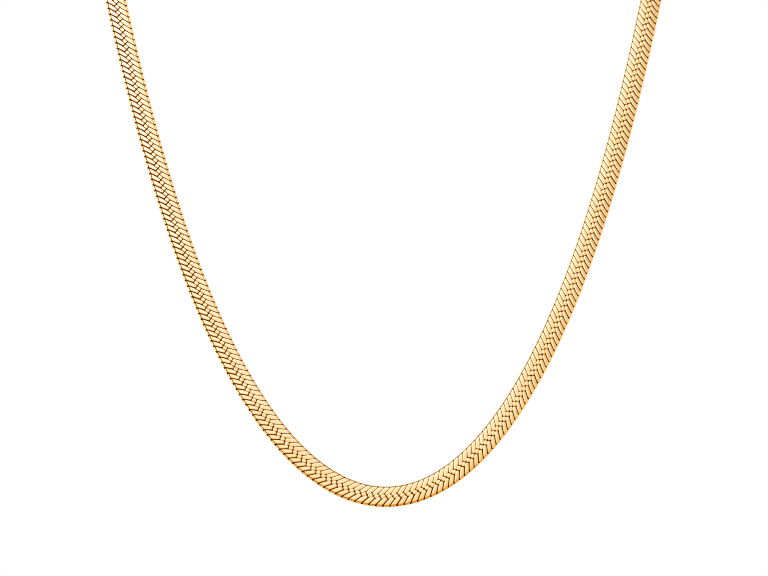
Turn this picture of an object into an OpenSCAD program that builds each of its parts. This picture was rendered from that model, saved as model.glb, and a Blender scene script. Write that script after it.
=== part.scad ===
/* [Chain] */
// Width of the flat chain, edge to edge
chain_w = 4.5; // [3.5:0.1:6]
// Thickness of the chain over the crests of its links
chain_t = 1.2; // [0.9:0.05:1.6]
// Spacing of the links, measured on the line where neighbours press together
link_pitch = 1.3; // [1.1:0.05:1.8]
// Depth of the groove between two links, on each face
groove = 0.18; // [0.05:0.01:0.25]

/* [Front drop] */
// Half the distance between the two strands, at the top of the front stretch
front_half_w = 59; // [52:0.5:64]
// How fast the drop curve rises
drop_rise = 48.6; // [42:0.1:55]
// How far the drop curve spreads before it turns up
drop_spread = 31.8; // [29:0.1:35]
// Lean of the front stretch, back from the vertical, in degrees
front_lean = 8; // [0:1:12]

/* [Way round the neck] */
// Distance from the lowest link back to the clasp
nape_back = 65; // [60:1:80]
// Height of the clasp above the lowest link
nape_up = 139; // [132:1:150]
// How far each strand keeps its direction as it leaves the front stretch
shoulder_pull = 28; // [24:0.5:36]
// How far each strand keeps its direction before it comes to the clasp
nape_pull = 28.5; // [24:0.5:36]

/* [Clasp] */
// Length of the clasp along the chain
clasp_len = 14; // [12:0.5:20]
// Width of the clasp's middle
clasp_w = 6.2; // [5.6:0.1:7.5]
// Thickness of the clasp's middle
clasp_t = 3; // [2.4:0.1:4]
// Length of each sleeve that holds a chain end
sleeve_len = 3; // [2:0.5:4]
// Wall of each sleeve
sleeve_wall = 0.4; // [0.3:0.05:0.6]
// Room between the chain and its sleeve, on each side
sleeve_room = 0.1; // [0.05:0.01:0.2]

/* [Hidden] */
$fn = 48;

// Each chain end runs straight for a short way and stops this deep inside its sleeve
straight_run = 1.5;
pocket_depth = 2.2;
chain_end_x = clasp_len / 2 - pocket_depth;
straight_x = clasp_len / 2 + straight_run;

// The clasp's inner face lies at y = 0, so the chain's middle plane is half its thickness behind
centre_y = clasp_t / 2;

// Corner radii of the clasp's sleeves and of its middle
sleeve_corner = 0.8;
middle_corner = 1.2;

// Direction words
right = [1, 0, 0];
back = [0, 1, 0];
up = [0, 0, 1];

// The front stretch lies in a leaning plane, with these two directions
front_up = back * sin(front_lean) + up * cos(front_lean);
front_face = up * sin(front_lean) - back * cos(front_lean);
lowest = back * (centre_y - nape_back) - up * nape_up;

// Direction that the face turns towards as the chain passes over the shoulder
shoulder_face = [1, 0, 1.1];

// Width at which each link's line bends, its height, and its lead along the chain
// across: 0 at the outer edge to 1 at the inner edge, height: share of half the thickness
// lead: links ahead of the outer edge
ACROSS = 0;
HEIGHT = 1;
LEAD = 2;
face_points = [
    [0.00, 0.50, 0.00],
    [0.38, 1.00, 0.90],
    [0.64, 1.00, 0.30],
    [1.00, 0.50, 1.25]
];
section = concat(
    face_points,
    [for (i = [3:-1:0]) [face_points[i][ACROSS], -face_points[i][HEIGHT], face_points[i][LEAD]]]
);

// The link lines run square across the chain at its two ends, and slant fully after this many links
square_end = 3;

// Steps of the table that spaces the links
path_steps = 360;
// Neighbouring links press together on the inner side of the middle line, at this share of half the width
press_side = 0.8;
// The middle line's parameter q runs from -q_end to q_end
q_end = 3;

function unit(v) = v / norm(v);
function cosh(v) = (exp(v) + exp(-v)) / 2;
function sinh(v) = (exp(v) - exp(-v)) / 2;
function mirror_x(v) = [-v.x, v.y, v.z];

// Front stretch, at distance x from the middle
function drop_height(x) = drop_rise * (cosh(x / drop_spread) - 1);
function drop_slope(x) = drop_rise / drop_spread * sinh(x / drop_spread);
function front_point(x) = lowest + right * x + front_up * drop_height(x);
function front_heading(x) = unit(right + front_up * drop_slope(x));

// Over the shoulder and round the neck, a cubic curve from the front stretch to the clasp
strand_top = front_point(front_half_w);
strand_end = [straight_x, centre_y, 0];
round_poles = [
    strand_top,
    strand_top + front_heading(front_half_w) * shoulder_pull,
    strand_end + right * nape_pull,
    strand_end
];
function cubic(p, t) =
    p[0] * pow(1 - t, 3) + p[1] * 3 * t * pow(1 - t, 2) + p[2] * 3 * t * t * (1 - t) + p[3] * pow(t, 3);
function cubic_heading(p, t) =
    unit((p[1] - p[0]) * pow(1 - t, 2) + (p[2] - p[1]) * 2 * t * (1 - t) + (p[3] - p[2]) * t * t);

// One side of the chain. q runs 0 to 1 up the front, 1 to 2 round the neck, 2 to 3 into the clasp
function side_point(q) =
    q < 1 ? front_point(q * front_half_w) :
    q < 2 ? cubic(round_poles, q - 1) :
    strand_end + right * (q - 2) * (chain_end_x - straight_x);
function side_heading(q) =
    q < 1 ? front_heading(q * front_half_w) :
    q < 2 ? cubic_heading(round_poles, q - 1) :
    -right;
function side_facing(q) =
    q < 1 ? front_face :
    q < 2 ? front_face * pow(2 - q, 2) + shoulder_face * 2 * (q - 1) * (2 - q) + back * pow(q - 1, 2) :
    back;

// The whole chain, from the clasp down the left strand, and up the right one
function point(q) = q < 0 ? mirror_x(side_point(-q)) : side_point(q);
function heading(q) = q < 0 ? -mirror_x(side_heading(-q)) : side_heading(q);
function facing(q) =
    let (wanted = q < 0 ? mirror_x(side_facing(-q)) : side_facing(q), along = heading(q))
    unit(wanted - along * (wanted * along));
function inward(q) = cross(facing(q), heading(q));

// Table of link number and q, with the links evenly spaced on the pressed line
steps = [for (i = [0:path_steps]) 2 * q_end * i / path_steps - q_end];
pressed = [for (q = steps) point(q) + inward(q) * press_side * chain_w / 2];
function gap_after(i) = i < path_steps ? norm(pressed[i + 1] - pressed[i]) : 0;
run = [for (i = 0, s = 0; i <= path_steps; s = s + gap_after(i), i = i + 1) s];
links = round(run[path_steps] / link_pitch);
link_table = [for (i = [0:path_steps]) [run[i] / run[path_steps] * links, steps[i]]];

// How much of its full slant the line of link number n has
function slant(n) = min(1, n / square_end, (links - n) / square_end);

// A point of the chain's surface on that line. shrink is 0 on a crest and 1 in a groove
function skin_point(n, s, shrink) =
    let (q = lookup(n + s[LEAD] * slant(n), link_table))
    point(q)
    + inward(q) * (s[ACROSS] - 0.5) * (chain_w - groove * shrink)
    + facing(q) * s[HEIGHT] * (chain_t / 2 - groove * shrink);

module chain() {
    sides = len(section);
    rings = 2 * links + 1;
    skin = [for (r = [0:rings - 1], s = section) skin_point(r / 2, s, r % 2 == 0 ? 1 : 0)];
    walls = [
        for (r = [0:rings - 2], i = [0:sides - 1])
        let (a = r * sides + i, b = r * sides + (i + 1) % sides, c = a + sides, d = b + sides)
        each [[a, b, d], [a, d, c]]
    ];
    first = [[for (i = [sides - 1:-1:0]) i]];
    last = [[for (i = [0:sides - 1]) (rings - 1) * sides + i]];
    color("gold")
    polyhedron(points = skin, faces = concat(walls, first, last), convexity = 10);
}

// Flat plate with round corners, length along X, width along Z, centred on the chain's middle plane
module plate(length, width, thickness, corner) {
    translate([0, centre_y + thickness / 2, 0])
    rotate([90, 0, 0])
    linear_extrude(thickness) {
        square([length - 2 * corner, width], center = true);
        square([length, width - 2 * corner], center = true);
        for (x = [-1, 1], z = [-1, 1])
            translate([x * (length / 2 - corner), z * (width / 2 - corner)])
            circle(corner);
    }
}

module clasp() {
    pocket_w = chain_w + 2 * sleeve_room;
    pocket_t = chain_t + 2 * sleeve_room;
    color("goldenrod")
    difference() {
        union() {
            plate(clasp_len, pocket_w + 2 * sleeve_wall, pocket_t + 2 * sleeve_wall, sleeve_corner);
            plate(clasp_len - 2 * sleeve_len, clasp_w, clasp_t, middle_corner);
        }
        for (side = [-1, 1])
            translate([side * clasp_len / 2, centre_y, 0])
            cube([2 * pocket_depth + 2 * sleeve_room, pocket_t, pocket_w], center = true);
    }
}

chain();
clasp();
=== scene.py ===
"""Looks of the herringbone chain: every link as its own closed form, the clasp, and the studio."""

import functools
import math

import bpy
import numpy as np
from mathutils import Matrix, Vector
from mathutils.geometry import delaunay_2d_cdt

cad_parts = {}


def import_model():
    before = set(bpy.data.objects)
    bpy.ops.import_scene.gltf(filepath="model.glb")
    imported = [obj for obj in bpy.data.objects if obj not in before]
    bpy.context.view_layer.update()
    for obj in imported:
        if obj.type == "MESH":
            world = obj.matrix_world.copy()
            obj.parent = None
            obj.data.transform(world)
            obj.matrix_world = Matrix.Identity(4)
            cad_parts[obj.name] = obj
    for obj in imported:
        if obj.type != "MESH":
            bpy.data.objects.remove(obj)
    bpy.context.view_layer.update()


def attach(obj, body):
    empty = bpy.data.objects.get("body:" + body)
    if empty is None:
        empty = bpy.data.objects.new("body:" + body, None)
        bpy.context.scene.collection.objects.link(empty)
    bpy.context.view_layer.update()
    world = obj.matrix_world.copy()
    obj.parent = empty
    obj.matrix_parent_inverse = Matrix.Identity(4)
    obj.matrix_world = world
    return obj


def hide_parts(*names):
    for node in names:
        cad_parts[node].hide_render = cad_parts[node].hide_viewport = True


# Chain, in metres, as in the part's source
CHAIN_W = 0.0045
CHAIN_T = 0.0012
LINK_PITCH = 0.0013
PRESS_SIDE = 0.8

# Front drop, and the way round the neck
FRONT_HALF_W = 0.059
DROP_RISE = 0.0486
DROP_SPREAD = 0.0318
FRONT_LEAN = math.radians(8)
NAPE_BACK = 0.065
NAPE_UP = 0.139
SHOULDER_PULL = 0.028
NAPE_PULL = 0.0285
SHOULDER_FACE = np.array([1.0, 0.0, 1.1])

# Clasp
CLASP_LEN = 0.014
CLASP_W = 0.0062
CLASP_T = 0.003
SLEEVE_LEN = 0.003
SLEEVE_WALL = 0.0004
SLEEVE_ROOM = 0.0001
POCKET_DEPTH = 0.0022
STRAIGHT_RUN = 0.0015

CHAIN_END_X = CLASP_LEN / 2 - POCKET_DEPTH
STRAIGHT_X = CLASP_LEN / 2 + STRAIGHT_RUN
CENTRE_Y = CLASP_T / 2

RIGHT, BACK, UP = np.eye(3)
FRONT_UP = BACK * math.sin(FRONT_LEAN) + UP * math.cos(FRONT_LEAN)
FRONT_FACE = UP * math.sin(FRONT_LEAN) - BACK * math.cos(FRONT_LEAN)
LOWEST = BACK * (CENTRE_Y - NAPE_BACK) - UP * NAPE_UP

# Distances from the band's outer edge at which each link's line bends
OUTER_BEND = 0.00167
INNER_BEND = 0.00283
# Lead of that line along the chain, in links, at each of its points and at the middle of the band
LINE_LEAD = np.array([0.0, 0.0, 0.87, 0.28, 1.18, 1.18])
MID_LEAD = 0.575

# The path's parameter q runs from -Q_END, in the clasp, to 0 at the lowest link and on to Q_END
Q_END = 3
TABLE_POINTS = 3601


def line_x(look):
    """Distances of the line's points from the outer edge."""
    inner_end = CHAIN_W - look["inner_strip"]
    return np.array([0.0, look["outer_strip"], OUTER_BEND, INNER_BEND, inner_end, CHAIN_W])


def column(values):
    """The values as one column, to go with rows of three."""
    return np.asarray(values, float)[:, None]


def unit_rows(v):
    """The rows of v, each brought to length 1."""
    return v / np.linalg.norm(v, axis=1, keepdims=True)


def front_path(x):
    """Points and headings of the front stretch, x metres right of the middle."""
    height = DROP_RISE * (np.cosh(x / DROP_SPREAD) - 1)
    slope = DROP_RISE / DROP_SPREAD * np.sinh(x / DROP_SPREAD)
    point = LOWEST + column(x) * RIGHT + column(height) * FRONT_UP
    return point, unit_rows(RIGHT + column(slope) * FRONT_UP)


def round_poles():
    """The four poles of the cubic curve over the right shoulder and round the neck."""
    top, heading = front_path(np.array([FRONT_HALF_W]))
    end = RIGHT * STRAIGHT_X + BACK * CENTRE_Y
    return top[0], top[0] + heading[0] * SHOULDER_PULL, end + RIGHT * NAPE_PULL, end


def round_path(t):
    """Points and headings over the shoulder and round the neck."""
    a, b, c, d = round_poles()
    t = column(t)
    point = a * (1 - t) ** 3 + b * 3 * t * (1 - t) ** 2 + c * 3 * t * t * (1 - t) + d * t**3
    heading = (b - a) * (1 - t) ** 2 + (c - b) * 2 * t * (1 - t) + (d - c) * t * t
    return point, unit_rows(heading)


def side_path(q):
    """Points, headings and wanted facings of the right side, for q from 0, lowest, to Q_END."""
    point, heading = front_path(np.minimum(q, 1) * FRONT_HALF_W)
    round_point, round_heading = round_path(np.clip(q - 1, 0, 1))
    t = column(np.clip(q - 1, 0, 1))
    face = FRONT_FACE * (1 - t) ** 2 + SHOULDER_FACE * 2 * t * (1 - t) + BACK * t * t
    end_point = RIGHT * STRAIGHT_X + BACK * CENTRE_Y + column(q - 2) * RIGHT * (CHAIN_END_X - STRAIGHT_X)
    for low, new_point, new_heading in ((1, round_point, round_heading), (2, end_point, -RIGHT[None])):
        use = column(q >= low)
        point = np.where(use, new_point, point)
        heading = np.where(use, new_heading, heading)
    return point, heading, face


def path(q):
    """Points, headings, facings and inward directions of the whole chain, for q from -Q_END to Q_END."""
    q = np.asarray(q, float)
    point, heading, face = side_path(np.abs(q))
    left = column(q < 0)
    flip = np.where(left, [-1, 1, 1], [1, 1, 1])
    point, face = point * flip, face * flip
    heading = np.where(left, -heading * flip, heading)
    facing = unit_rows(face - heading * np.sum(face * heading, axis=1, keepdims=True))
    return point, heading, facing, np.cross(facing, heading)


def link_table():
    """How many links there are, and the table that gives q for a link number."""
    q = np.linspace(-Q_END, Q_END, TABLE_POINTS)
    point, _, _, inward = path(q)
    pressed = point + inward * PRESS_SIDE * CHAIN_W / 2
    run = np.concatenate([[0], np.cumsum(np.linalg.norm(np.diff(pressed, axis=0), axis=1))])
    links = round(run[-1] / LINK_PITCH)
    return links, run / run[-1] * links, q


LINKS, TABLE_N, TABLE_Q = link_table()

# Each link slants, so one fewer fits between the chain's two ends, which the clasp's sleeves hide
COUNT = LINKS - 1
SPAN = COUNT + LINE_LEAD[-1]


def q_of(n):
    """The path's q at link number n, which runs from 0 to SPAN."""
    return np.interp(n / SPAN * LINKS, TABLE_N, TABLE_Q)


# LOOKS says how the links change along the chain, by its values at these link numbers, which count from
# the clasp down the left strand and up the right one: open on the left, closed up on the right, with painted
# shade that changes with how the light falls on each strand
LOOK_LINKS = (105, 128, 150, 170, 195)
# Lengths are in metres
LOOKS = {
    # Gap to the next link, at each part
    "outer_gap": (0.00014, 0.00012, 0.000105, 0.0001, 0.0001),
    "middle_gap": (0.00012, 0.00011, 0.00009, 0.00008, 0.00003),
    "inner_gap": (0.00008, 0.00007, 0.00005, 0.00005, 0.00004),
    # How tightly the middles press together: 0 for an open gap, 1 for pressed
    "middle_press": (0, 0, 0, 0.2, 0.8),
    # Width of the rounded bar ends
    "outer_strip": (0.00043, 0.0004, 0.00036, 0.00036, 0.00034),
    "inner_strip": (0.0004, 0.00034, 0.00028, 0.00026, 0.00026),
    # Depth of the creases inside a link, and of the pits where they meet a gap, as shares of their profiles
    "crease": (1.15, 0.9, 0.5, 0.45, 0.6),
    "node": (0.2, 0.6, 1.2, 1.4, 1.8),
    # Depth of a bar beside its outer rounded end, as a share of its profile
    "rim": (1, 1, 0.8, 0.4, 0.35),
    # Depth of the crease between the two
    "outer_crease": (0.0001, 0.00012, 0.0001, 0.00005, 0.00002),
    # Cavity value of the rounded ends, which paints them darker and more orange than the face: painted shade
    "outer_end_shade": (0.35, 0.36, 0.42, 0.42, 0.34),
    "inner_end_shade": (0.24, 0.26, 0.36, 0.6, 0.7),
    # Share of its length that an outer rounded end loses, which leaves a notch beside it
    "notch": (0.1, 0.14, 0.2, 0.18, 0.07),
    # How much of its painted shade a notch loses at the chain's very edge
    "notch_shade_fade": (0.9, 0.6, 0.3, 0.35, 0.9),
    # Painted shade beside each notch, close to the bar
    "pit": (1, 0.8, 0.6, 0.4, 0.2),
    # Rise of a bar's middle
    "crown": (0.00001, 0.00001, 0.00001, 0.00002, 0.00004),
    # How far the links' inner runs stay inside the chain's two edges
    "outer_inset": (0.00008, 0.00005, 0.00003, 0.00003, 0.00013),
    "inner_inset": (0.00004, 0.00001, 0.00001, 0.00003, 0.00003),
    # Cavity value, which paints shade, of those runs at the chain's outer edge
    "core_rim": (0.85, 0.9, 1, 1, 1),
}
# Links that share one look
GROUP = 5


def look_values(k):
    """The look of link number k, as a tuple in the order of LOOKS."""
    return tuple(round(float(np.interp(k, LOOK_LINKS, values)), 7) for values in LOOKS.values())


# A link's face, in metres: x from the outer edge, y along the chain
HALF_T = CHAIN_T / 2
# Half the height of a link's side wall at the chain's edge
EDGE_Z = 0.00012

# The whole face is slightly rounded across the chain, lower at its edges by this much
EDGE_DROP = 0.0002

# Each profile gives the depth below the face by the distance from one kind of side, both in metres
STEPS = (0, 0.00002, 0.00005, 0.0001, 0.00016, 0.00024, 0.00035)
# Beside an open gap, and beside a gap where neighbours press together
GAP_PROFILE = (STEPS, (0.00026, 0.00012, 0.00005, 0.000015, 0.000009, 0.000004, 0))
PRESS_PROFILE = (STEPS, (0.0001, 0.000065, 0.000032, 0.000014, 0.000008, 0.000003, 0))
# Beside a crease inside a link, and beside the one that parts a bar from its outer rounded end
CREASE_PROFILE = (STEPS[:6], (0.000062, 0.000058, 0.000045, 0.000018, 0.000007, 0.000001))
RIM_PROFILE = (STEPS[:5], (0.0001, 0.0001, 0.00008, 0.00004, 0.00001))
# Extra depth of a pit, by the distance from the corner that it is at
NODE_PROFILE = ((0, 0.00008, 0.00019), (0.0001, 0.00006, 0))
# Depth of the top of a gap's walls, and of the crease between a bar and its inner rounded end
WALL_TOP = GAP_PROFILE[1][0]
INNER_CREASE = 0.000045

# A cell is meshed with rings of points at these distances inside its sides
RING_INSETS = (0.0, 0.00002, 0.00005, 0.0001, 0.00016)
# Inside the last ring it has rows of points beside its longest side: how far off that side and off the one
# across from it, which steps are tried along it, their length, and the room left to the ring
FILL_ROWS = (0.00024, 0.00036)
FILL_TRIED = range(-10, 20)
FILL_STEP = 0.00026
FILL_ROOM = 0.00004
# Points are told apart in this many steps a metre
POINT_STEPS = 1e8
# Anything below this counts as nothing in plan
TINY = 1e-9
# The triangulation's output: only what is inside the ring
INSIDE_ONLY = 1

# Where a side is cut, as shares of its length, by its kind. A gap is open, at press the neighbours press
# together, and middle is between the two. A crease is a fold inside a link. edge and rim part a bar from its
# inner and its outer rounded end
LONG_CUTS = (0.1, 0.25, 0.5, 0.75, 0.9)
END_CUTS = (0.06, 0.16, 0.32, 0.5, 0.68, 0.84, 0.94)
CUTS = {
    "gap": LONG_CUTS,
    "middle": LONG_CUTS,
    "press": LONG_CUTS,
    "crease": (0.25, 0.75),
    "edge": END_CUTS,
    "rim": END_CUTS,
}
# Pairs of sides that have a pit where they meet
PIT_SIDES = ({"gap", "crease"}, {"middle", "crease"}, {"press", "crease"})


def profile(kind, look):
    """The depths beside one kind of side, as (distances, depths)."""
    if kind == "gap":
        return GAP_PROFILE
    if kind == "press":
        return PRESS_PROFILE
    if kind == "middle":
        pressed = look["middle_press"]
        open_depths, pressed_depths = np.array(GAP_PROFILE[1]), np.array(PRESS_PROFILE[1])
        return STEPS, open_depths * (1 - pressed) + pressed_depths * pressed
    if kind == "rim":
        return RIM_PROFILE[0], np.array(RIM_PROFILE[1]) * look["rim"]
    return CREASE_PROFILE[0], np.array(CREASE_PROFILE[1]) * look["crease"]


def pairs(items):
    """Each item with the one after it, and the last with the first."""
    return list(zip(items, [*items[1:], items[0]]))


def offset_corners(corners, insets):
    """Corners of a polygon, counter-clockwise, with each side moved inward by its own inset."""
    lines = []
    for (a, b), inset in zip(pairs(corners), insets):
        along = (b - a) / np.linalg.norm(b - a)
        inward = np.array([-along[1], along[0]])
        lines.append((a + inward * inset, along))
    moved = []
    for i, (r, v) in enumerate(lines):
        p, u = lines[i - 1]
        cross = u[0] * v[1] - u[1] * v[0]
        if abs(cross) < TINY:
            moved.append(r)
            continue
        w = r - p
        moved.append(p + u * ((w[0] * v[1] - w[1] * v[0]) / cross))
    return moved


def link_outline(look):
    """The link's ten corners in plan, with the gap taken off, counter-clockwise from the outer edge."""
    rear = [np.array([x, lead * LINK_PITCH]) for x, lead in zip(line_x(look)[1:5], LINE_LEAD[1:5])]
    rear.insert(2, (rear[1] + rear[2]) / 2)
    front = [p + np.array([0, LINK_PITCH]) for p in rear]
    corners = rear + front[::-1]
    half = [look[part] / 2 for part in ("outer_gap", "middle_gap", "middle_gap", "inner_gap")]
    insets = [*half, 0, *half[::-1], 0]
    # From the outer edge to the inner one, the rear line has d, a, m, b, e and the front line D, A, M, B, E
    names = "d a m b e E B M A D".split()
    return dict(zip(names, offset_corners(corners, insets)))


def cells(c):
    """The three cells of a link's face, as (corners, kinds of their sides), counter-clockwise."""
    outer = [c["d"], c["a"], c["M"], c["A"], c["D"]]
    outer_kinds = ["gap", "crease", "middle", "gap", "rim"]
    middle = [c["a"], c["m"], c["B"], c["M"]]
    middle_kinds = ["middle", "crease", "middle", "crease"]
    inner = [c["E"], c["B"], c["m"], c["b"], c["e"]]
    inner_kinds = ["press", "crease", "press", "press", "edge"]
    return [(outer, outer_kinds), (middle, middle_kinds), (inner, inner_kinds)]


# Depth below the face at which a surface counts as wholly inside a gap and gets the full painted shade
FULL_CAVITY = 0.0001
# How much of its cavity value, its painted shade, a rounded bar end loses towards the chain's very edge
EDGE_SHADE_FADE = 0.6
# Cavity value, which paints shade, of the gaps' walls. Only the corners where gaps meet, the outer creases
# and the notches get darker painted shade
WALL_SHADE = 0.86
# Share of the pitch over which a cell rises from its sides to its crown
CROWN_REACH = 0.42


class Sheet:
    """Points and faces of one face of a link, with points that coincide kept once."""

    def __init__(self, look):
        self.points, self.cavity, self.faces, self.known = [], [], [], {}
        self.look = look

    def add(self, x, y, z, depth, most=1.0):
        """The number of the point there, new or known. Its cavity value, which paints shade, follows its
        depth, up to most.
        """
        key = (round(x * POINT_STEPS), round(y * POINT_STEPS))
        if key not in self.known:
            self.known[key] = len(self.points)
            self.points.append((x, y, z))
            self.cavity.append(min(most, depth / FULL_CAVITY))
        return self.known[key]

    def add_face_point(self, p, depth, rise=0.0, most=WALL_SHADE):
        """Adds a point of the face, by its place in plan and its depth below the face."""
        z = HALF_T - self.look["crown"] - roundness(p[0]) - depth + rise
        return self.add(p[0], p[1], z, depth, most)

    def add_inner_point(self, p, corners, kinds):
        """Adds a point of the face that lies inside a cell's sides."""
        depth = depth_at(p, corners, kinds, self.look)
        return self.add_face_point(p, depth, crown(p, corners, self.look["crown"]))

    def face(self, ids):
        """Adds a face through these points, less any that repeat."""
        ids = [v for i, v in enumerate(ids) if v != ids[i - 1]]
        if len(ids) > 2:
            self.faces.append(ids)


def side_distance(p, a, b):
    """How far p is to the left of the line from a to b, and below zero to its right."""
    along = (b - a) / np.linalg.norm(b - a)
    return float((p - a) @ np.array([-along[1], along[0]]))


def depth_at(p, corners, kinds, look):
    """Depth below the face: what the cell's sides and nodes ask for together, down to a wall's top."""
    total = 0
    for i, (a, b) in enumerate(pairs(corners)):
        total += np.interp(side_distance(p, a, b), *profile(kinds[i], look))
        if {kinds[i - 1], kinds[i]} in PIT_SIDES:
            total += look["node"] * np.interp(np.linalg.norm(p - a), *NODE_PROFILE)
    return min(total, WALL_TOP)


def roundness(x):
    """Drop of the face at x from the outer edge, for the slight rounding of the whole chain."""
    return EDGE_DROP * ((x - CHAIN_W / 2) / (CHAIN_W / 2)) ** 2


def crown(p, corners, height):
    """Rise of a cell's middle over its sides, which makes a bar slightly convex."""
    near = max(0.0, min(side_distance(p, a, b) for a, b in pairs(corners)))
    share = min(1, near / (CROWN_REACH * LINK_PITCH))
    return height * (1 - (1 - share) ** 2)


def outline_depth(share, i, kinds, look):
    """Depth at a share of the way along side i of a cell, and the most that its cavity value may be."""
    at_corner = share == 0
    darkest = 1.0 if at_corner or kinds[i] == "rim" else WALL_SHADE
    if kinds[i] in ("edge", "rim") and not at_corner:
        return edge_depth(share, kinds[0], look), darkest
    sides = (kinds[i - 1], kinds[i]) if at_corner else (kinds[i],)
    return max(profile(kind, look)[1][0] for kind in sides), darkest


def add_cell(sheet, corners, kinds):
    """Rings of points from the cell's sides inward, with a flat face in the middle."""
    previous = None
    for inset in RING_INSETS:
        ring = []
        for i, (a, b) in enumerate(pairs(offset_corners(corners, [inset] * len(corners)))):
            for share in (0, *CUTS[kinds[i]]):
                p = a + (b - a) * share
                if previous:
                    ring.append(sheet.add_inner_point(p, corners, kinds))
                    continue
                depth, darkest = outline_depth(share, i, kinds, sheet.look)
                ring.append(sheet.add_face_point(p, depth, most=darkest))
        if previous:
            for (a, b), (c, d) in zip(pairs(previous), pairs(ring)):
                sheet.face([a, b, d, c])
        previous = ring
    fill_cell(sheet, previous, corners, kinds)


def fill_cell(sheet, ring, corners, kinds):
    """Closes a cell inside its last ring, with rows of points along its longest side."""
    rim = [Vector(sheet.points[i][:2]) for i in ring]
    lengths = [np.linalg.norm(b - a) for a, b in pairs(corners)]
    longest = int(np.argmax(lengths))
    start = corners[longest]
    along = (pairs(corners)[longest][1] - start) / lengths[longest]
    aside = np.array([-along[1], along[0]])
    width = max(float((c - start) @ aside) for c in corners)
    rows = [*FILL_ROWS, width / 2, *(width - row for row in FILL_ROWS)]
    grid = []
    for i in FILL_TRIED:
        for row in rows:
            p = start + along * (i + 0.5) * FILL_STEP + aside * row
            near = min(side_distance(p, a, b) for a, b in pairs(corners))
            if near > RING_INSETS[-1] + FILL_ROOM:
                grid.append(Vector(p))
    edges = pairs(list(range(len(rim))))
    points, _, faces, source, _, _ = delaunay_2d_cdt(rim + grid, edges, [], INSIDE_ONLY, TINY)
    ids = []
    for point, origin in zip(points, source):
        if origin and origin[0] < len(rim):
            ids.append(ring[origin[0]])
        else:
            ids.append(sheet.add_inner_point(np.array(point), corners, kinds))
    for f in faces:
        sheet.face([ids[i] for i in f])


# The crease between a bar and its outer rounded end has a dimple midway, this deep, and reaching this share
# of the end's length to each side. It fades out where the crease is shallower than the last value
DIMPLE_DEPTH = 0.00012
DIMPLE_REACH = 0.2
DIMPLE_FROM = 0.00004


def edge_depth(share, kind, look):
    """Depth along the crease between a bar and its rounded end. kind is gap for the outer end, or press."""
    beside_gap = np.interp(min(share, 1 - share) * LINK_PITCH, *profile(kind, look))
    if kind == "press":
        return max(INNER_CREASE, beside_gap)
    dimple = DIMPLE_DEPTH * max(0, 1 - (abs(share - 0.5) / DIMPLE_REACH) ** 2)
    return max(look["outer_crease"], dimple * min(1, look["outer_crease"] / DIMPLE_FROM), beside_gap)


# Share of its length that an inner rounded end loses
INNER_NOTCH = 0.12
# A rounded end's slope beside its crease, and the steps of its further turn down to the side wall, as shares
STRIP_SLOPE = math.radians(28)
STRIP_TURNS = (0, 0.1, 0.25, 0.5, 0.75, 1)
# Share of a rounded end's width over which its notch opens and its pits fade, and the share over which the
# darkness of its crease fades
NOTCH_REACH = 0.6
CREASE_REACH = 0.35


def add_strip(sheet, a, b, outward):
    """The rounded end of a bar at the chain's edge, from the crease a to b out to the side wall."""
    look = sheet.look
    if outward < 0:
        width, tone, notch, kind = look["outer_strip"], look["outer_end_shade"], look["notch"], "gap"
    else:
        width, tone, notch, kind = look["inner_strip"], look["inner_end_shade"], INNER_NOTCH, "press"
    previous = None
    for turn in STRIP_TURNS:
        angle = STRIP_SLOPE + (math.pi / 2 - STRIP_SLOPE) * turn
        out = (math.sin(angle) - math.sin(STRIP_SLOPE)) / (1 - math.sin(STRIP_SLOPE))
        row = []
        for share in (0, *END_CUTS, 1):
            kept = 0.5 + (share - 0.5) * (1 - notch * min(1, out / NOTCH_REACH))
            p = a + (b - a) * kept
            depth = edge_depth(share, kind, look) if 0 < share < 1 else profile(kind, look)[1][0]
            top = HALF_T - look["crown"] - roundness(a[0]) - depth
            z = EDGE_Z + (top - EDGE_Z) * math.cos(angle) / math.cos(STRIP_SLOPE)
            # Cavity value of the point: the end's painted shade, fading towards the edge, or the painted
            # shade in its crease, notch and pits
            end_shade = max(tone * (1 - EDGE_SHADE_FADE * out) * FULL_CAVITY, depth * (1 - out / CREASE_REACH))
            if share in (0, 1):
                end_shade = FULL_CAVITY * (1 - look["notch_shade_fade"] * out)
            elif share in (END_CUTS[0], END_CUTS[-1]):
                end_shade = max(end_shade, FULL_CAVITY * look["pit"] * (1 - out / NOTCH_REACH))
            row.append(sheet.add(p[0] + outward * width * out, p[1], z, end_shade))
        if previous:
            for j in range(len(row) - 1):
                sheet.face([previous[j + 1], previous[j], row[j], row[j + 1]])
        previous = row


@functools.lru_cache(maxsize=None)
def link_template(values):
    """One link as points, faces, cavity values and its line's x: two like faces joined by side walls."""
    look = dict(zip(LOOKS, values))
    sheet = Sheet(look)
    c = link_outline(look)
    for corners, kinds in cells(c):
        add_cell(sheet, corners, kinds)
    add_strip(sheet, c["D"], c["d"], -1)
    add_strip(sheet, c["e"], c["E"], 1)
    top = np.array(sheet.points)
    n = len(top)
    bottom = top * [1, 1, -1]
    faces = sheet.faces + [[i + n for i in f[::-1]] for f in sheet.faces]
    uses = dict.fromkeys((f[i - 1], v) for f in sheet.faces for i, v in enumerate(f))
    walls = [[b, a, a + n, b + n] for a, b in uses if (b, a) not in uses]
    cavity = np.array(sheet.cavity * 2)
    return np.vstack([top, bottom]), faces + walls, cavity, line_x(look)


# Neighbours are never taken to be closer than this share of the pitch
LEAST_SPACING = 0.8
# Random spread of each link's place along the chain, in metres, and of its roll, pitch and turn, in radians
LINK_SPREADS = (0.000008, 0.012, 0.016, 0.006)


def spacing(n, across):
    """Distance between neighbours at link number n, as a share of the pitch, on a line off the middle."""
    ends = []
    for step in (-0.5, 0.5):
        point, _, _, inward = path(q_of(np.clip(n + step, 0, SPAN)))
        ends.append(point + inward * across)
    return np.maximum(np.linalg.norm(ends[1] - ends[0], axis=1) / LINK_PITCH, LEAST_SPACING)


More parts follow.
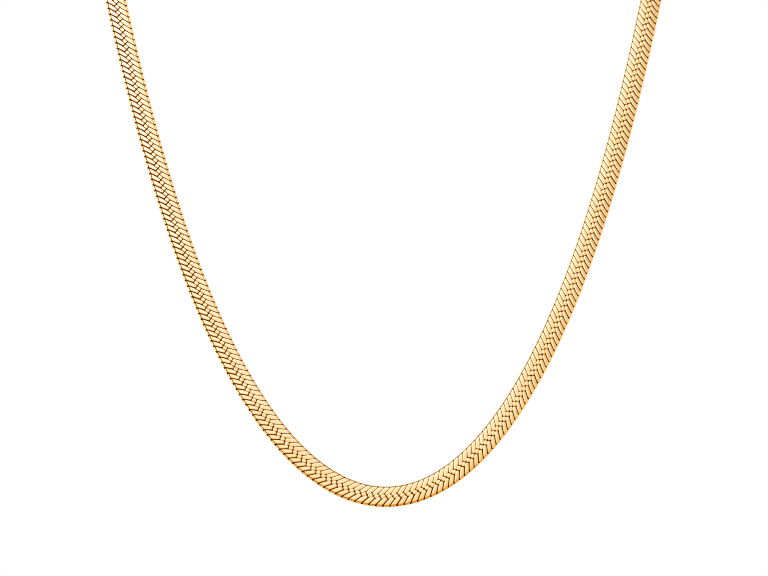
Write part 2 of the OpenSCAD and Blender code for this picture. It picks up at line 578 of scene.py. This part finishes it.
def place_links(template, corners_x, first, last, rng):
    """Points of the links first to last - 1 on the chain's path, wider on the outside of a bend."""
    k = np.arange(first, last)
    x, y, z = template.T
    lead = np.interp(x, corners_x, LINE_LEAD)
    inside = y / LINK_PITCH - lead - 0.5
    along = (inside + lead - MID_LEAD)[None] * LINK_PITCH
    centre_n = k + 0.5 + MID_LEAD
    point, heading, facing, inward = path(q_of(centre_n))
    across = x[None] - CHAIN_W / 2
    shift, roll, pitch, turn = (column(rng.normal(0, spread, len(k))) for spread in LINK_SPREADS)
    outer, inner = (spacing(centre_n, side) for side in (-CHAIN_W / 2, CHAIN_W / 2))
    wider = outer[:, None] + (inner - outer)[:, None] * x[None] / CHAIN_W - 1
    along = along + inside * LINK_PITCH * wider
    height = z[None] + roll * across + pitch * along
    along = along + shift + turn * across
    return (
        point[:, None]
        + inward[:, None] * across[..., None]
        + heading[:, None] * along[..., None]
        + facing[:, None] * height[..., None]
    ).reshape(-1, 3)


# Edges with a sharper angle than this aren't shaded smooth
LINK_SHARP = math.radians(50)
CLASP_SHARP = math.radians(40)


def new_object(name, data):
    """A new object in the scene, with this mesh, light or camera."""
    made = bpy.data.objects.new(name, data)
    bpy.context.scene.collection.objects.link(made)
    return made


def mesh_object(name, points, faces, material, cavity):
    """A smooth mesh object, with a cavity value at each point."""
    mesh = bpy.data.meshes.new(name)
    mesh.from_pydata([tuple(p) for p in points], [], faces)
    mesh.materials.append(material)
    mesh.attributes.new("cavity", "FLOAT", "POINT").data.foreach_set("value", cavity)
    mesh.polygons.foreach_set("use_smooth", np.ones(len(mesh.polygons), bool))
    mesh.set_sharp_from_angle(angle=LINK_SHARP)
    mesh.update()
    return new_object(name, mesh)


def links_piece(name, first, last, seed, material):
    """The links first to last - 1 as one joined mesh, made in groups that share one look."""
    rng = np.random.default_rng(seed)
    points, every, cavities = [], [], []
    made = 0
    for start in range(first, last, GROUP):
        stop = min(start + GROUP, last)
        template, faces, cavity, corners_x = link_template(look_values(start))
        points.append(place_links(template, corners_x, start, stop, rng))
        for _ in range(start, stop):
            every.extend([v + made for v in f] for f in faces)
            cavities.append(cavity)
            made += len(template)
    return mesh_object(name, np.vstack(points), every, material, np.concatenate(cavities))


# The links' inner runs: half their thickness, how far from the chain's ends they start and how many
# cross-sections they have, both in links
CORE_HALF_T = 0.00016
CORE_START = 0.2
CORE_DENSITY = 2
# Across the inner runs: place as a share of half the width, height as a share, and cavity value, which
# paints them nearly black as shade deep in the gaps
CORE_RING = (
    (-1, 0, 1.0), (-0.88, 1, 1.0), (-0.8, 1, 0.8), (0.8, 1, 0.8), (0.93, 1, 1.0),
    (1, 0, 1.0), (0.93, -1, 1.0), (0.8, -1, 0.8), (-0.8, -1, 0.8), (-0.88, -1, 1.0),
)


def core_piece(name, material):
    """The links' inner runs, which close the gaps from behind: a slim band along the whole chain."""
    n = np.linspace(CORE_START, SPAN - CORE_START, LINKS * CORE_DENSITY)
    point, _, facing, inward = path(q_of(n))
    outer, inner = (column(np.interp(n, LOOK_LINKS, LOOKS[side])) for side in ("outer_inset", "inner_inset"))
    ring = []
    for a, h, _ in CORE_RING:
        half = CHAIN_W / 2 - (outer if a < 0 else inner)
        ring.append(point + inward * half * a + facing * CORE_HALF_T * h)
    points = np.stack(ring, axis=1).reshape(-1, 3)
    sides = len(ring)
    faces = []
    for r in range(len(n) - 1):
        for i in range(sides):
            a, b = r * sides + i, r * sides + (i + 1) % sides
            faces.append([a, b, b + sides, a + sides])
    faces.append(list(range(sides))[::-1])
    faces.append([(len(n) - 1) * sides + i for i in range(sides)])
    # The runs' cavity values paint them nearly black: painted shade behind the gaps
    tones = np.tile([tone for _, _, tone in CORE_RING], (len(n), 1))
    tones[:, 0] = np.interp(n, LOOK_LINKS, LOOKS["core_rim"])
    return mesh_object(name, points, faces, material, tones.ravel())


# Places of the factor, the two colours and the result among a colour mix node's sockets
MIX_FACTOR, MIX_A, MIX_B, MIX_RESULT = 0, 6, 7, 2


def node(tree, kind, **inputs):
    """A new shader node with these input values, named with an underscore for each space."""
    made = tree.nodes.new(kind)
    for name, value in inputs.items():
        made.inputs[name.replace("_", " ")].default_value = value
    return made


def tone_ramp(tree, tones):
    """A colour ramp with a stop for each (place, colour) of tones."""
    ramp = tree.nodes.new("ShaderNodeValToRGB")
    for i, (place, shade) in enumerate(tones):
        stop = ramp.color_ramp.elements[i] if i < 2 else ramp.color_ramp.elements.new(place)
        stop.position, stop.color = place, (*shade, 1)
    return ramp


def blend(tree, factor, a, b, blend_type="MIX"):
    """The result of a colour mix, whose factor, a and b are each a socket or a plain value."""
    mix = tree.nodes.new("ShaderNodeMix")
    mix.data_type, mix.blend_type = "RGBA", blend_type
    for place, value in ((MIX_FACTOR, factor), (MIX_A, a), (MIX_B, b)):
        if isinstance(value, bpy.types.NodeSocket):
            tree.links.new(value, mix.inputs[place])
        else:
            mix.inputs[place].default_value = value if place == MIX_FACTOR else (*value, 1)
    return mix.outputs[MIX_RESULT]


# The gold's colour where it is lightest, on the painted highlight along the rim of each bar, and its
# roughness
GOLD = (1.0, 0.85, 0.6)
GOLD_ROUGHNESS = 0.17
# Its slow drift in tone: noise scale, and the stops between the warmer tone and the gold's own
DRIFT_SCALE = 90.0
DRIFT_TONES = ((0.35, (GOLD[0] * 0.96, GOLD[1] * 0.94, GOLD[2] * 0.88)), (0.65, GOLD))
# Its drift in gloss: noise scale, the noise values at its two ends, and the shares of the roughness there
WEAR_SCALE = 1400.0
WEAR_FROM, WEAR_TO = 0.3, 0.7
GLOSS_FROM, GLOSS_TO = 0.75, 1.3
# Its fine grain: noise scale, strength and height
GRAIN_SCALE = 5200.0
GRAIN_STRENGTH = 0.05
GRAIN_HEIGHT = 0.00002
# Colour at each cavity value, as a share of that: the flat face, a painted highlight on the rim, then
# painted shade deeper in the gaps
PAINTED_CAVITY_TONES = (
    (0.0, (1.0, 0.89, 0.68)),
    (0.02, (1.0, 0.89, 0.68)),
    (0.07, (1.0, 1.0, 1.0)),
    (0.16, (1.0, 1.0, 0.95)),
    (0.3, (0.95, 0.74, 0.38)),
    (0.45, (0.75, 0.42, 0.1)),
    (0.65, (0.42, 0.13, 0.03)),
    (0.86, (0.2, 0.045, 0.012)),
    (1.0, (0.025, 0.009, 0.004)),
)
# Up to the first cavity value the surface is bare metal. From the second on it is dull and nearly black:
# painted shade in the gaps
BARE_METAL = 0.5
PAINTED_SHADE_FULL = 0.82


def gold(name):
    """Polished gold that drifts slightly in tone and gloss, with painted shade in its gaps and a painted
    highlight on its rims, both set by the cavity value.
    """
    m = bpy.data.materials.new(name)
    m.use_nodes = True
    tree = m.node_tree
    link = tree.links.new
    shader = tree.nodes["Principled BSDF"]
    shader.inputs["Specular IOR Level"].default_value = 0.0
    where = tree.nodes.new("ShaderNodeTexCoord")
    drift = node(tree, "ShaderNodeTexNoise", Scale=DRIFT_SCALE, Detail=3.0, Roughness=0.55)
    wear = node(tree, "ShaderNodeTexNoise", Scale=WEAR_SCALE, Detail=4.0, Roughness=0.6)
    grain = node(tree, "ShaderNodeTexNoise", Scale=GRAIN_SCALE, Detail=2.0)
    for texture in (drift, wear, grain):
        link(where.outputs["Object"], texture.inputs["Vector"])
    cavity = tree.nodes.new("ShaderNodeAttribute")
    cavity.attribute_name = "cavity"
    tone = tone_ramp(tree, DRIFT_TONES)
    deep = tone_ramp(tree, PAINTED_CAVITY_TONES)
    link(drift.outputs["Fac"], tone.inputs["Fac"])
    link(cavity.outputs["Fac"], deep.inputs["Fac"])
    colour = blend(tree, 1.0, tone.outputs["Color"], deep.outputs["Color"], "MULTIPLY")
    link(colour, shader.inputs["Base Color"])
    bare = node(tree, "ShaderNodeMapRange", From_Min=BARE_METAL, From_Max=PAINTED_SHADE_FULL, To_Min=1.0, To_Max=0.0)
    link(cavity.outputs["Fac"], bare.inputs["Value"])
    link(bare.outputs["Result"], shader.inputs["Metallic"])
    gloss = node(
        tree, "ShaderNodeMapRange", From_Min=WEAR_FROM, From_Max=WEAR_TO,
        To_Min=GOLD_ROUGHNESS * GLOSS_FROM, To_Max=GOLD_ROUGHNESS * GLOSS_TO,
    )
    link(wear.outputs["Fac"], gloss.inputs["Value"])
    link(gloss.outputs["Result"], shader.inputs["Roughness"])
    bump = node(tree, "ShaderNodeBump", Strength=GRAIN_STRENGTH, Distance=GRAIN_HEIGHT)
    link(grain.outputs["Fac"], bump.inputs["Height"])
    link(bump.outputs["Normal"], shader.inputs["Normal"])
    return m


# How far the clasp is rounded, at the corners and edges of its sleeves and of its middle, and the steps of
# a quarter turn round an edge and round a corner
SLEEVE_CORNER = 0.0008
SLEEVE_EDGE = 0.00022
MIDDLE_CORNER = 0.0012
MIDDLE_EDGE = 0.0006
EDGE_STEPS = 6
CORNER_STEPS = 10


def slab(length, width, thickness, corner, edge):
    """A plate with round corners and rounded edges, length along X, round the chain's middle plane."""
    rows = []
    for side in (-1, 1):
        for step in range(EDGE_STEPS + 1):
            turn = math.pi / 2 * (EDGE_STEPS - step if side < 0 else step) / EDGE_STEPS
            inset = edge * (1 - math.cos(turn))
            y = CENTRE_Y + side * (thickness / 2 - edge + edge * math.sin(turn))
            radius = corner - inset
            row = []
            for quarter, (x_way, z_way) in enumerate(((1, 1), (-1, 1), (-1, -1), (1, -1))):
                for part in range(CORNER_STEPS + 1):
                    angle = math.pi / 2 * (quarter + part / CORNER_STEPS)
                    x = x_way * (length / 2 - corner) + radius * math.cos(angle)
                    z = z_way * (width / 2 - corner) + radius * math.sin(angle)
                    row.append((x, y, z))
            rows.append(row)
    return closed_object("slab", rows)


def closed_object(name, rows):
    """A closed mesh through rows of points, with a flat face at each end."""
    size = len(rows[0])
    faces = [list(range(size)), [(len(rows) - 1) * size + i for i in range(size)][::-1]]
    for r in range(len(rows) - 1):
        for i in range(size):
            a, b = r * size + i, r * size + (i + 1) % size
            faces.append([a, a + size, b + size, b])
    mesh = bpy.data.meshes.new(name)
    mesh.from_pydata([p for row in rows for p in row], [], faces)
    return new_object(name, mesh)


def pocket(end):
    """The room for a chain's end in the sleeve at that end, -1 or 1."""
    half_z = CHAIN_W / 2 + SLEEVE_ROOM
    half_y = CHAIN_T / 2 + SLEEVE_ROOM
    rows = []
    for x in (CLASP_LEN / 2 - POCKET_DEPTH - SLEEVE_ROOM, CLASP_LEN / 2 + SLEEVE_LEN):
        rows.append([
            (end * x, CENTRE_Y + y * half_y, z * half_z * end)
            for y, z in ((-1, -1), (1, -1), (1, 1), (-1, 1))
        ])
    return closed_object("pocket", rows)


def clasp_piece(material):
    """The plain clasp in one piece: a sleeve at each end, with its pocket, and a thicker middle."""
    sleeve_w = CHAIN_W + 2 * (SLEEVE_ROOM + SLEEVE_WALL)
    sleeve_t = CHAIN_T + 2 * (SLEEVE_ROOM + SLEEVE_WALL)
    made = slab(CLASP_LEN, sleeve_w, sleeve_t, SLEEVE_CORNER, SLEEVE_EDGE)
    middle = slab(CLASP_LEN - 2 * SLEEVE_LEN, CLASP_W, CLASP_T, MIDDLE_CORNER, MIDDLE_EDGE)
    tools = [(middle, "UNION"), (pocket(-1), "DIFFERENCE"), (pocket(1), "DIFFERENCE")]
    for tool, operation in tools:
        cut = made.modifiers.new("cut", "BOOLEAN")
        cut.object = tool
        cut.operation = operation
        cut.solver = "EXACT"
    shape = bpy.data.meshes.new_from_object(made.evaluated_get(bpy.context.evaluated_depsgraph_get()))
    made.modifiers.clear()
    for tool, _ in tools:
        bpy.data.objects.remove(tool)
    made.data = shape
    made.name = shape.name = "clasp_body"
    shape.materials.clear()
    shape.materials.append(material)
    shape.polygons.foreach_set("use_smooth", np.ones(len(shape.polygons), bool))
    shape.set_sharp_from_angle(angle=CLASP_SHARP)
    flats = made.modifiers.new("flats", "WEIGHTED_NORMAL")
    flats.keep_sharp = True
    return made


# The panel in front of the chain: its place, its size, and its brightness at full
PANEL_AT = (0.0, -0.22, 0.05)
PANEL_SIZE = (0.52, 0.5)
PANEL_FULL = 2.1
# Tones of its upper part, by share of its width
PANEL_TOP = (
    (0.0, (0.64, 0.7, 0.92)),
    (0.33, (0.64, 0.7, 0.92)),
    (0.4, (0.56, 0.6, 0.74)),
    (0.455, (0.36, 0.39, 0.44)),
    (0.545, (0.37, 0.42, 0.6)),
    (0.575, (0.36, 0.39, 0.46)),
    (0.605, (0.315, 0.275, 0.19)),
    (0.66, (0.315, 0.268, 0.12)),
    (0.73, (0.25, 0.2, 0.12)),
    (0.8, (0.13, 0.13, 0.125)),
)
# Tones of its lower part, by share of its height
PANEL_LOW = (
    (0.0, (0.33, 0.275, 0.13)),
    (0.09, (0.33, 0.275, 0.13)),
    (0.16, (0.33, 0.32, 0.255)),
    (0.22, (0.33, 0.34, 0.33)),
    (0.34, (0.335, 0.348, 0.345)),
)
# Tint of its lower part, by share of its width
PANEL_SIDE = (
    (0.43, (1.0, 1.0, 1.0)),
    (0.48, (1.0, 1.03, 1.12)),
    (0.545, (1.0, 1.07, 1.4)),
    (0.57, (0.99, 0.98, 1.0)),
    (0.6, (0.92, 0.81, 0.55)),
    (0.66, (0.92, 0.76, 0.44)),
    (0.72, (0.6, 0.52, 0.4)),
    (0.79, (0.34, 0.35, 0.36)),
)
# Shares of its height between which the lower part gives way to the upper one
LOW_END, TOP_START = 0.27, 0.39


def panel_light():
    """A soft panel in front: bright at its left, warm right of its middle and low down, dim at its right."""
    light = bpy.data.lights.new("panel", "AREA")
    light.shape = "RECTANGLE"
    light.size, light.size_y = PANEL_SIZE
    light.energy = PANEL_FULL * math.pi * PANEL_SIZE[0] * PANEL_SIZE[1]
    light.use_nodes = True
    tree = light.node_tree
    link = tree.links.new
    where = tree.nodes.new("ShaderNodeNewGeometry")
    axes = tree.nodes.new("ShaderNodeSeparateXYZ")
    link(where.outputs["Parametric"], axes.inputs[0])
    height = node(tree, "ShaderNodeMapRange", From_Min=LOW_END, From_Max=TOP_START)
    link(axes.outputs["Y"], height.inputs["Value"])
    ramps = [tone_ramp(tree, tones) for tones in (PANEL_TOP, PANEL_LOW, PANEL_SIDE)]
    for axis, ramp in zip("XYX", ramps):
        link(axes.outputs[axis], ramp.inputs["Fac"])
    top, low, side = (ramp.outputs["Color"] for ramp in ramps)
    tinted = blend(tree, 1.0, low, side, "MULTIPLY")
    link(blend(tree, height.outputs["Result"], tinted, top), tree.nodes["Emission"].inputs["Color"])
    made = new_object("panel", light)
    made.location = PANEL_AT
    made.rotation_euler = (math.radians(90), 0, 0)
    made.visible_camera = False


# A light over the floor, which the chain doesn't mirror: its place, size, brightness and colour
FLOOR_LIGHT_AT = (0.0, 0.0, 3.6)
FLOOR_LIGHT_SIZE = 9.0
FLOOR_LIGHT_FULL = 0.9
FLOOR_LIGHT_TONE = (0.94, 1.0, 1.1)


def floor_light():
    """The light over the floor."""
    light = bpy.data.lights.new("overhead", "AREA")
    light.shape = "SQUARE"
    light.size = FLOOR_LIGHT_SIZE
    light.color = FLOOR_LIGHT_TONE
    light.energy = FLOOR_LIGHT_FULL * math.pi * FLOOR_LIGHT_SIZE**2
    made = new_object("overhead", light)
    made.location = FLOOR_LIGHT_AT
    made.visible_camera = False
    made.visible_glossy = False


# Camera: straight on, far enough for the photo's flat view
CAMERA_FAR = 3.0
CLIP_NEAR, CLIP_FAR = 0.1, 50
SENSOR_MM = 36.0
# The photo's size in pixels, where it shows the chain's lowest point, and the metres in a pixel
PHOTO_W, PHOTO_H = 768, 576
LOWEST_PX = (385.3, 496.8)
PX = 0.000219
# Roll of the camera, in radians
CAMERA_ROLL = 0.0056


def make_camera():
    """The camera, placed so that the chain's lowest point is where the photo shows it."""
    cam = bpy.data.cameras.new("camera")
    cam.sensor_width = SENSOR_MM
    cam.lens = SENSOR_MM * CAMERA_FAR / (PX * PHOTO_W)
    cam.clip_start, cam.clip_end = CLIP_NEAR, CLIP_FAR
    made = new_object("camera", cam)
    x = -(LOWEST_PX[0] - PHOTO_W / 2) * PX
    z = LOWEST[2] + (LOWEST_PX[1] - PHOTO_H / 2) * PX
    made.location = (x, LOWEST[1] - CAMERA_FAR, z)
    made.rotation_euler = (math.radians(90), CAMERA_ROLL, 0)
    bpy.context.scene.camera = made


# The studio's surroundings: dimmer in front, brighter all round, warm towards the lower right
FRONT_COOL = (0.3, 0.29, 0.27)
FRONT_WARM = (0.3, 0.2, 0.1)
ROUND_COOL = (1.05, 1.07, 1.1)
ROUND_WARM = (1.05, 0.78, 0.45)
BACK_COOL = (1.15, 1.08, 0.95)
BACK_WARM = (0.9, 0.68, 0.42)
OVERHEAD = (0.55, 0.4, 0.26)
BELOW = (0.84, 0.57, 0.07)
# What the camera itself sees of them
PLAIN_WHITE = (1.0, 1.0, 1.0)
# Where one tone gives way to another: a direction, and the cosines of the angle to it between which it does
WARM_SIDE = (0.75, 0.0, -0.66)
FRONT_WARMS = (WARM_SIDE, -0.3, 0.3)
ROUND_WARMS = (WARM_SIDE, -0.5, 0.7)
BACK_WARMS = (WARM_SIDE, -0.5, 0.3)
TO_FRONT = ((0.0, -0.96, 0.27), 0.7, 0.9)
TO_BACK = ((0, 1, 0), -0.1, 0.35)
TO_TOP = ((0, 0, 1), 0.35, 0.75)
TO_BELOW = ((0, 0, -1), 0.25, 0.7)


def make_world():
    """The surroundings, whose tone depends on the direction."""
    world = bpy.data.worlds.new("studio")
    bpy.context.scene.world = world
    world.use_nodes = True
    tree = world.node_tree
    link = tree.links.new
    where = tree.nodes.new("ShaderNodeTexCoord")

    def share(direction, low, high):
        """How far the view direction turns towards the given one, from 0 at low to 1 at high."""
        dot = tree.nodes.new("ShaderNodeVectorMath")
        dot.operation = "DOT_PRODUCT"
        dot.inputs[1].default_value = direction
        link(where.outputs["Generated"], dot.inputs[0])
        span = node(tree, "ShaderNodeMapRange", From_Min=low, From_Max=high)
        span.interpolation_type = "SMOOTHSTEP"
        link(dot.outputs["Value"], span.inputs["Value"])
        return span.outputs["Result"]

    front = blend(tree, share(*FRONT_WARMS), FRONT_COOL, FRONT_WARM)
    beside = blend(tree, share(*ROUND_WARMS), ROUND_COOL, ROUND_WARM)
    behind = blend(tree, share(*BACK_WARMS), BACK_COOL, BACK_WARM)
    around = beside
    for span, tone in ((TO_FRONT, front), (TO_BACK, behind), (TO_TOP, OVERHEAD), (TO_BELOW, BELOW)):
        around = blend(tree, share(*span), around, tone)
    seen = tree.nodes.new("ShaderNodeLightPath").outputs["Is Camera Ray"]
    link(blend(tree, seen, around, PLAIN_WHITE), tree.nodes["Background"].inputs["Color"])


# The pale floor, well below the chain, with a faint cloudy tone
FLOOR_SIZE = 8
FLOOR_Z = -0.45
FLOOR_ROUGHNESS = 0.7
FLOOR_SCALE = 6.0
FLOOR_TONES = ((0.3, (0.88, 0.87, 0.85)), (0.7, (0.9, 0.89, 0.87)))


def make_studio():
    """The surroundings, the two lights and the floor."""
    make_world()
    panel_light()
    floor_light()
    bpy.ops.mesh.primitive_plane_add(size=FLOOR_SIZE, location=(0, 0, FLOOR_Z))
    floor = bpy.context.object
    floor.name = "floor"
    floor.visible_glossy = False
    pale = bpy.data.materials.new("pale_floor")
    pale.use_nodes = True
    tree = pale.node_tree
    shader = tree.nodes["Principled BSDF"]
    shader.inputs["Roughness"].default_value = FLOOR_ROUGHNESS
    where = tree.nodes.new("ShaderNodeTexCoord")
    drift = node(tree, "ShaderNodeTexNoise", Scale=FLOOR_SCALE, Detail=2.0)
    shade = tone_ramp(tree, FLOOR_TONES)
    tree.links.new(where.outputs["Object"], drift.inputs["Vector"])
    tree.links.new(drift.outputs["Fac"], shade.inputs["Fac"])
    tree.links.new(shade.outputs["Color"], shader.inputs["Base Color"])
    floor.data.materials.append(pale)


# The pieces that the links are joined into, a quarter of the chain each, from the clasp down the left strand
LINK_PIECES = ("links_left_round", "links_left_drop", "links_right_drop", "links_right_round")
# Seed of the first one's random tilts. Each piece has its own
FIRST_SEED = 11


def main():
    """Everything in the scene: the links, their inner runs and the clasp, with the camera and the studio."""
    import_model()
    polished = gold("polished_gold")
    make_camera()
    make_studio()
    ends = [round(COUNT * i / len(LINK_PIECES)) for i in range(len(LINK_PIECES) + 1)]
    pieces = []
    for i, name in enumerate(LINK_PIECES):
        pieces.append(links_piece(name, ends[i], ends[i + 1], FIRST_SEED + i, polished))
    pieces.append(core_piece("links_inner_runs", polished))
    for piece in pieces:
        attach(piece, "root")
        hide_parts("chain")
    clasp = clasp_piece(polished)
    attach(clasp, "root")
    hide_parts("clasp")
    bpy.context.scene.view_settings.view_transform = "Standard"
    bpy.context.scene.cycles.filter_width = 1.0


main()
